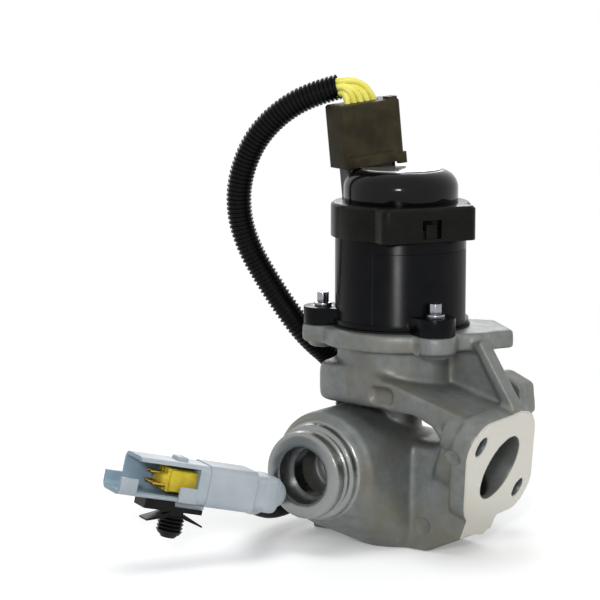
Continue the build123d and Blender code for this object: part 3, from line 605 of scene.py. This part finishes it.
# the wires leave the plug side by side, bend over and go into the conduit's mouth in a bundle
wireLook = {
    "radius": 1.45, "sides": 18, "pitch": 3.6, "plugTop": 43.0, "start": 33.0,
    "rise": (1.2, 2.0, 2.8, 3.6, 4.4),
    "mouth": [(-1.8, -2.6), (-2.6, 0.4), (0.1, 0.2), (2.6, -0.6), (1.2, 2.7)],
    "depth": 6.0, "straight": 7.0, "bendBack": 8.0, "bendShare": 0.45, "clear": 0.3, "step": 0.4,
    "smooth": 60,
}


def addWires():
    look = wireLook
    mouth, second = Vector(conduitLook["route"][0]), Vector(conduitLook["route"][1])
    inward = (second - mouth).normalized()
    side = -Vector((0, 0, 1)).cross(inward).normalized()
    middle = len(look["mouth"]) // 2
    wires = []
    for index, (sideShift, upShift) in enumerate(look["mouth"]):
        x = (index - middle) * look["pitch"]
        end = mouth + side * sideShift + side.cross(inward) * upShift + inward * look["depth"]
        start = towerPlace @ (Vector((x, 0, look["start"])) * mm) / mm
        above = towerPlace @ (Vector((x, 0, look["plugTop"])) * mm) / mm
        bend = above.lerp(end - inward * look["bendBack"], look["bendShare"]) + towerUp * look["rise"][index]
        route = [start, above + towerUp * look["clear"], bend, end - inward * look["straight"], end]
        points, _ = evenPoints(splinePoints(route, "wireRoute"), look["step"] * mm)
        radius = look["radius"] * mm
        wires.append(tubeMesh("wire", points, [radius] * len(points), look["sides"]))
    piece = joinPieces(wires[0], wires[1:])
    piece.name = "plugWires"
    smoothByAngle(piece, look["smooth"])
    finishPiece(piece, finishes["wireInsulation"], "body", ["harness_wires"])
    return piece


wirePiece = addWires()
print("wires made")


castingLook = {
    "voxel": 0.62, "smoothing": 24, "trim": 3, "reduce": 0.42, "cutDepth": 1.6, "topCut": 95.4, "smooth": 42,
    "pipe": {"place": (-15.0, -31.0, 35.5), "radius": 25.3, "length": 12.0},
    "chamber": {"place": (0.0, 0.0, 23.5), "radius": 20.0, "length": 46.0},
    "boreEnd": -25.0, "boreCut": {"radius": 15.5, "length": 40.0},
    "chamberCut": {"place": (0, 0, 22.0), "radius": 16.8, "length": 46.0},
    "passageRise": 1.5, "spigotPassage": {"radius": 10.0, "length": 40.0},
    "flangeRun": (26.0, 0, 5.5), "flangePassage": {"place": (17.0, 0, 17.75), "radius": 10.0, "length": 27.0},
    "barEdge": 0.01, "barSides": 72,
    "armZ": (61.0, 83.0), "armEdge": 22.0, "armRight": 14.0, "feather": 5.0, "armSmoothing": 190,
    "pocket": {"place": (10.5, -31.0, 69.8), "size": (13.0, 5.6, 7.6), "turn": -5.3, "edge": 2.4},
}


def roundSolid(name, axis, place, radius, length):
    # a plain bar used to build up or cut the casting before it is remeshed
    piece = roundBar(name, radius, length, (0, 0, 0), castingLook["barEdge"], castingLook["barSides"])
    turn = Vector(axis).to_track_quat("Z", "Y").to_matrix().to_4x4()
    placeMesh(piece, Matrix.Translation(Vector(place) * mm) @ turn)
    return piece


def cutAway(piece, cutter):
    applyModifier(piece, "BOOLEAN", operation="DIFFERENCE", object=cutter, solver="EXACT")
    bpy.data.objects.remove(cutter)


def blendBody():
    # the pipe and the round chamber run into each other as one hull, kept clear of the gas passages
    look = castingLook
    pipe = roundSolid("pipeBlend", (0, 1, 0), **look["pipe"])
    chamber = roundSolid("chamberBlend", (0, 0, 1), **look["chamber"])
    body = joinPieces(pipe, [chamber])
    bpy.ops.object.mode_set(mode="EDIT")
    bpy.ops.mesh.select_all(action="SELECT")
    bpy.ops.mesh.convex_hull()
    bpy.ops.object.mode_set(mode="OBJECT")
    x, _, z = look["pipe"]["place"]
    bore, passage, end = look["boreCut"], look["spigotPassage"], look["boreEnd"]
    cutAway(body, roundSolid("boreCut", (0, 1, 0), (x, end - bore["length"] / 2, z), **bore))
    cutAway(body, roundSolid("chamberCut", (0, 0, 1), **look["chamberCut"]))
    cutAway(body, roundSolid("spigotPassage", (-x, -end, 0), (x / 2, end / 2, z + look["passageRise"]),
                             **passage))
    cutAway(body, roundSolid("flangePassage", look["flangeRun"], **look["flangePassage"]))
    return body


# places of the marks: how far to the right of the stem, seen from the front, and how high
ejectorLook = {
    "marks": [{"side": 9.15, "high": 11.0, "radius": 3.9}, {"side": 19.7, "high": 49.5, "radius": 3.6},
              {"side": 5.7, "high": 90.8, "radius": 2.5}],
    "right": (0.809, 0.588, 0), "front": (0.588, -0.809, 0), "reach": 150, "thick": 1.4, "proud": 0.42,
    "rim": 0.5, "dish": 0.22, "edge": 0.15, "edgeSharp": 30, "sides": 48,
}


def ejectorMark(piece, mark):
    # round, slightly dished mark left by an ejector pin, laid on the skin where a ray from the front meets it
    look = ejectorLook
    right, front = Vector(look["right"]), Vector(look["front"])
    start = (right * mark["side"] + front * look["reach"] + Vector((0, 0, mark["high"]))) * mm
    hit, place, normal, _ = piece.ray_cast(start, -front)
    if not hit:
        return None
    radius, thick = mark["radius"] * mm, look["thick"] * mm
    deselectAll()
    bpy.ops.mesh.primitive_cylinder_add(vertices=look["sides"], radius=radius, depth=thick)
    disc = bpy.context.object
    bpy.ops.object.mode_set(mode="EDIT")
    bpy.ops.mesh.select_mode(type="FACE")
    bpy.ops.mesh.select_all(action="DESELECT")
    bpy.ops.object.mode_set(mode="OBJECT")
    for face in disc.data.polygons:
        face.select = face.normal.z > 0.9
    bpy.ops.object.mode_set(mode="EDIT")
    bpy.ops.mesh.inset(thickness=look["rim"] * mm)
    bpy.ops.transform.translate(value=(0, 0, -look["dish"] * mm))
    bpy.ops.object.mode_set(mode="OBJECT")
    bevelEdges(disc, look["edge"], math.radians(look["edgeSharp"]))
    turn = normal.to_track_quat("Z", "Y").to_matrix().to_4x4()
    lift = Vector(normal) * (look["proud"] * mm - thick / 2)
    placeMesh(disc, Matrix.Translation(place + lift) @ turn)
    return disc


def weighVertices(piece, name, rule):
    group = piece.vertex_groups.new(name=name)
    for vertex in piece.data.vertices:
        group.add([vertex.index], rule(vertex.co / mm), "REPLACE")


def skinWeight(place):
    # 1 on the rough cast skin, 0 on what a tool has cut, so that only the skin is rounded off
    reach = flangeOutward.dot(Vector(castLook["flangeCentre"])) - castingLook["cutDepth"]
    cut = (flangeOutward.dot(place) > reach or place.y < castLook["spigotEnd"]
           or place.z > castingLook["topCut"])
    return 0.0 if cut else 1.0


def armWeight(place):
    # the arm's outer edge is rounded much more than the rest
    look = castingLook
    low, high = look["armZ"]
    margin = min(place.z - low, high - place.z, Vector((place.x, place.y)).length - look["armEdge"],
                 look["armRight"] - place.x)
    return max(0.0, min(1.0, margin / look["feather"]))


def addCasting():
    look = castingLook
    piece = mergedCopy("valve_housing", "castHousing")
    joinPieces(piece, [blendBody()])
    applyModifier(piece, "REMESH", mode="VOXEL", voxel_size=look["voxel"] * mm)
    weighVertices(piece, "arm", armWeight)
    applyModifier(piece, "SMOOTH", factor=0.5, iterations=look["armSmoothing"], vertex_group="arm")
    # the pocket is cut after the arm is smoothed, because the smoothing would close it
    pocket = roundedBlock("pocketCut", look["pocket"]["size"], (0, 0, 0), look["pocket"]["edge"])
    placeMesh(pocket, Matrix.Translation(Vector(look["pocket"]["place"]) * mm)
              @ Matrix.Rotation(math.radians(look["pocket"]["turn"]), 4, "Z"))
    cutAway(piece, pocket)
    applyModifier(piece, "REMESH", mode="VOXEL", voxel_size=look["voxel"] * mm)
    weighVertices(piece, "skin", skinWeight)
    applyModifier(piece, "SMOOTH", factor=0.5, iterations=look["smoothing"], vertex_group="skin")
    applyModifier(piece, "SMOOTH", factor=0.5, iterations=look["trim"])
    applyModifier(piece, "DECIMATE", ratio=look["reduce"])
    piece.vertex_groups.clear()
    marks = [disc for disc in (ejectorMark(piece, mark) for mark in ejectorLook["marks"]) if disc]
    joinPieces(piece, marks)
    smoothByAngle(piece, look["smooth"])
    finishPiece(piece, finishes["dieCastAluminium"], "body", ["valve_housing"])
    print("casting made:", len(marks), "ejector marks,", len(piece.data.polygons), "faces")


addCasting()

# moulded pieces keep the CAD form and get the soft edges of the mould
softSmooth = 40
softLooks = {
    "actuator_can": {"piece": "canShell", "edge": 0.5, "finish": "canNylon", "slot": "black_nylon"},
    "collar_cover": {"piece": "coverCollar", "edge": 0.5, "finish": "coverNylon", "slot": "black_nylon"},
    "sensor_cap": {"piece": "capDome", "edge": 0.35, "finish": "capNylon", "slot": "black_nylon"},
    "cap_disc": {"piece": "capFoil", "edge": 0.15, "finish": "foilSilver", "slot": "foil_disc"},
    "plug_housing": {"piece": "plugShell", "edge": 0.9, "finish": "plugNylon", "slot": "black_nylon"},
    "connector_housing": {"piece": "connectorShell", "edge": 0.35, "finish": "connectorNylon",
                          "slot": "grey_nylon"},
    "connector_backshell": {"piece": "connectorBoot", "edge": 0.6, "finish": "connectorNylon",
                            "slot": "grey_nylon"},
}
softPieces = {}
for nodeName, look in softLooks.items():
    piece = mergedCopy(nodeName, look["piece"])
    bevelEdges(piece, look["edge"])
    smoothByAngle(piece, softSmooth)
    finishPiece(piece, finishes[look["finish"]], "body", [nodeName])
    softPieces[nodeName] = piece
print("moulded pieces made")

# the connector's own frame: x towards the window, y up, z from the rear end to the mouth;
# the cavity's values are half its width, half its height and the place where it starts
connectorLook = {
    "rear": (-26.0, -60.5, 28.0), "mouth": (-59.5, -124.5, 45.0), "cavity": (7.6, 6.9, 38.0), "smooth": 40,
    "nib": {"size": (7.0, 3.2, 5.2), "centre": (0.0, 8.6, 45.6), "edge": 0.9},
    "corner": {"size": (1.7, 6.6, 8.5), "centre": (8.35, -4.9, 42.6), "edge": 0.5},
    "band": {"size": (16.8, 15.8, 8.0), "centre": (0.0, -0.2, 3.6), "edge": 2.6},
    "insert": {"size": (12.3, 9.3, 36.0), "centre": (0.0, 0.0, 33.0), "edge": 0.9},
    "key": {"size": (10.4, 5.2, 5.0), "centre": (0.0, 0.3, 52.0), "edge": 1.6},
    "ribs": {"size": (0.9, 9.9, 3.4), "xs": (-4.6, -1.6, 1.6, 4.6), "centre": 50.4, "edge": 0.3},
    "pins": {"places": ((-4.0, -2.2), (-4.0, 2.2), (0.0, -2.2), (0.0, 2.2), (4.0, -2.2)), "radius": 0.8,
             "length": 43.0, "centre": 36.5, "edge": 0.3, "sides": 20},
}
connectorRear = Vector(connectorLook["rear"])
connectorRun = Vector(connectorLook["mouth"]) - connectorRear
connectorPlace = frameMatrix(connectorRear, connectorRun, Vector((0, 0, 1)).cross(connectorRun))


def connectorBlock(name, size, centre, edge):
    block = roundedBlock(name, size, centre, edge)
    placeMesh(block, connectorPlace)
    return block


def dressShell():
    # a nib and a corner are moulded on, and the faces inside the mouth get painted shade, a darker bluer
    # nylon
    shell = softPieces["connector_housing"]
    joinPieces(shell, [connectorBlock(name, **connectorLook[name]) for name in ("nib", "corner")])
    shell.data.materials.clear()
    shell.data.materials.append(finishes["connectorNylon"])
    # painted shade: the faces inside the mouth take a darker, bluer copy of the nylon
    shell.data.materials.append(finishes["cavityPaintedShade"])
    toLocal = connectorPlace.inverted()
    wide, tall, low = connectorLook["cavity"]
    for face in shell.data.polygons:
        place = (toLocal @ face.center) / mm
        inside = abs(place.x) < wide and abs(place.y) < tall and place.z > low
        face.material_index = 1 if inside else 0
    smoothByAngle(shell, connectorLook["smooth"])


def dressBoot():
    boot = softPieces["connector_backshell"]
    joinPieces(boot, [connectorBlock("band", **connectorLook["band"])])
    boot.data.materials.clear()
    boot.data.materials.append(finishes["connectorNylon"])
    smoothByAngle(boot, connectorLook["smooth"])


def addInsert():
    ribLook = connectorLook["ribs"]
    core = connectorBlock("insertKey", **connectorLook["insert"])
    ribs = [connectorBlock("rib", ribLook["size"], (x, 0.0, ribLook["centre"]), ribLook["edge"])
            for x in ribLook["xs"]]
    insert = joinPieces(core, ribs + [connectorBlock("key", **connectorLook["key"])])
    smoothByAngle(insert, connectorLook["smooth"])
    finishPiece(insert, finishes["insertNylon"], "body", ["connector_insert"])
    return insert


def addContacts():
    look = connectorLook["pins"]
    pins = []
    for x, y in look["places"]:
        pin = roundBar("pin", look["radius"], look["length"], (x, y, look["centre"]), look["edge"],
                       look["sides"])
        placeMesh(pin, connectorPlace)
        pins.append(pin)
    contacts = joinPieces(pins[0], pins[1:])
    contacts.name = "contactPins"
    smoothByAngle(contacts, connectorLook["smooth"])
    finishPiece(contacts, finishes["contactBrass"], "body", ["connector_pins"])
    return contacts


dressShell()
dressBoot()
insertPiece = addInsert()
contactPiece = addContacts()
print("connector details made")

# screws with six-lobe heads, one in each ear of the can
screwLook = {
    "pitch": 34.0, "angles": (-30.0, 90.0, 210.0), "seat": 103.9, "shank": 2.45, "shankLength": 16.0,
    "shankEdge": 0.2, "flange": 3.9, "flangeHigh": 1.6, "flangeEdge": 0.4, "lobes": 6, "lobe": 2.62,
    "lobeSwing": 0.15, "headHigh": 6.2, "headEdge": 0.35, "headSharp": 60, "headSides": 72, "smooth": 35,
}


def lobedHead(x, y, low, high):
    # a round plate whose rim is waved, and then drawn up
    look = screwLook
    deselectAll()
    bpy.ops.mesh.primitive_circle_add(vertices=look["headSides"], radius=look["lobe"] * mm, fill_type="NGON",
                                      location=(x * mm, y * mm, low * mm))
    head = bpy.context.object
    bpy.ops.object.transform_apply(location=False, rotation=False, scale=False)
    for vertex in head.data.vertices:
        turn = math.atan2(vertex.co.y, vertex.co.x)
        vertex.co *= 1 + look["lobeSwing"] / look["lobe"] * math.cos(look["lobes"] * turn)
    bpy.ops.object.mode_set(mode="EDIT")
    bpy.ops.mesh.select_all(action="SELECT")
    bpy.ops.mesh.extrude_region_move(TRANSFORM_OT_translate={"value": (0, 0, high * mm)})
    faceOutwards(head)
    placeMesh(head, Matrix.Identity(4))
    bevelEdges(head, look["headEdge"], math.radians(look["headSharp"]))
    return head


def addScrews():
    look = screwLook
    screws = []
    for angle in look["angles"]:
        x = look["pitch"] * math.cos(math.radians(angle))
        y = look["pitch"] * math.sin(math.radians(angle))
        long, high, seat = look["shankLength"], look["flangeHigh"], look["seat"]
        shank = roundBar("shank", look["shank"], long, (x, y, seat - long / 2), look["shankEdge"])
        washer = roundBar("washer", look["flange"], high, (x, y, seat + high / 2), look["flangeEdge"])
        head = lobedHead(x, y, seat + high, look["headHigh"] - high)
        screws += [shank, washer, head]
    piece = joinPieces(screws[0], screws[1:])
    piece.name = "lobeScrews"
    smoothByAngle(piece, look["smooth"])
    finishPiece(piece, finishes["zincSteel"], "body", ["actuator_screws"])


addScrews()
print("screws made")

# each spring stands on one body and is pushed by the other; its copy keeps the CAD coils as they are
springSmooth = 50
springLooks = {
    "return_spring": {"piece": "valveSpring", "low": "body", "high": "valve", "foot": 74.2, "head": 88.5},
    "sensor_spring": {"piece": "followSpring", "low": "sensor", "high": "body", "foot": 152.5, "head": 161.2},
}
for nodeName, look in springLooks.items():
    piece = mergedCopy(nodeName, look["piece"])
    smoothByAngle(piece, springSmooth)
    piece.data.materials.append(finishes["stainlessSteel"])
    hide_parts(nodeName)
    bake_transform(piece)
print("springs made")
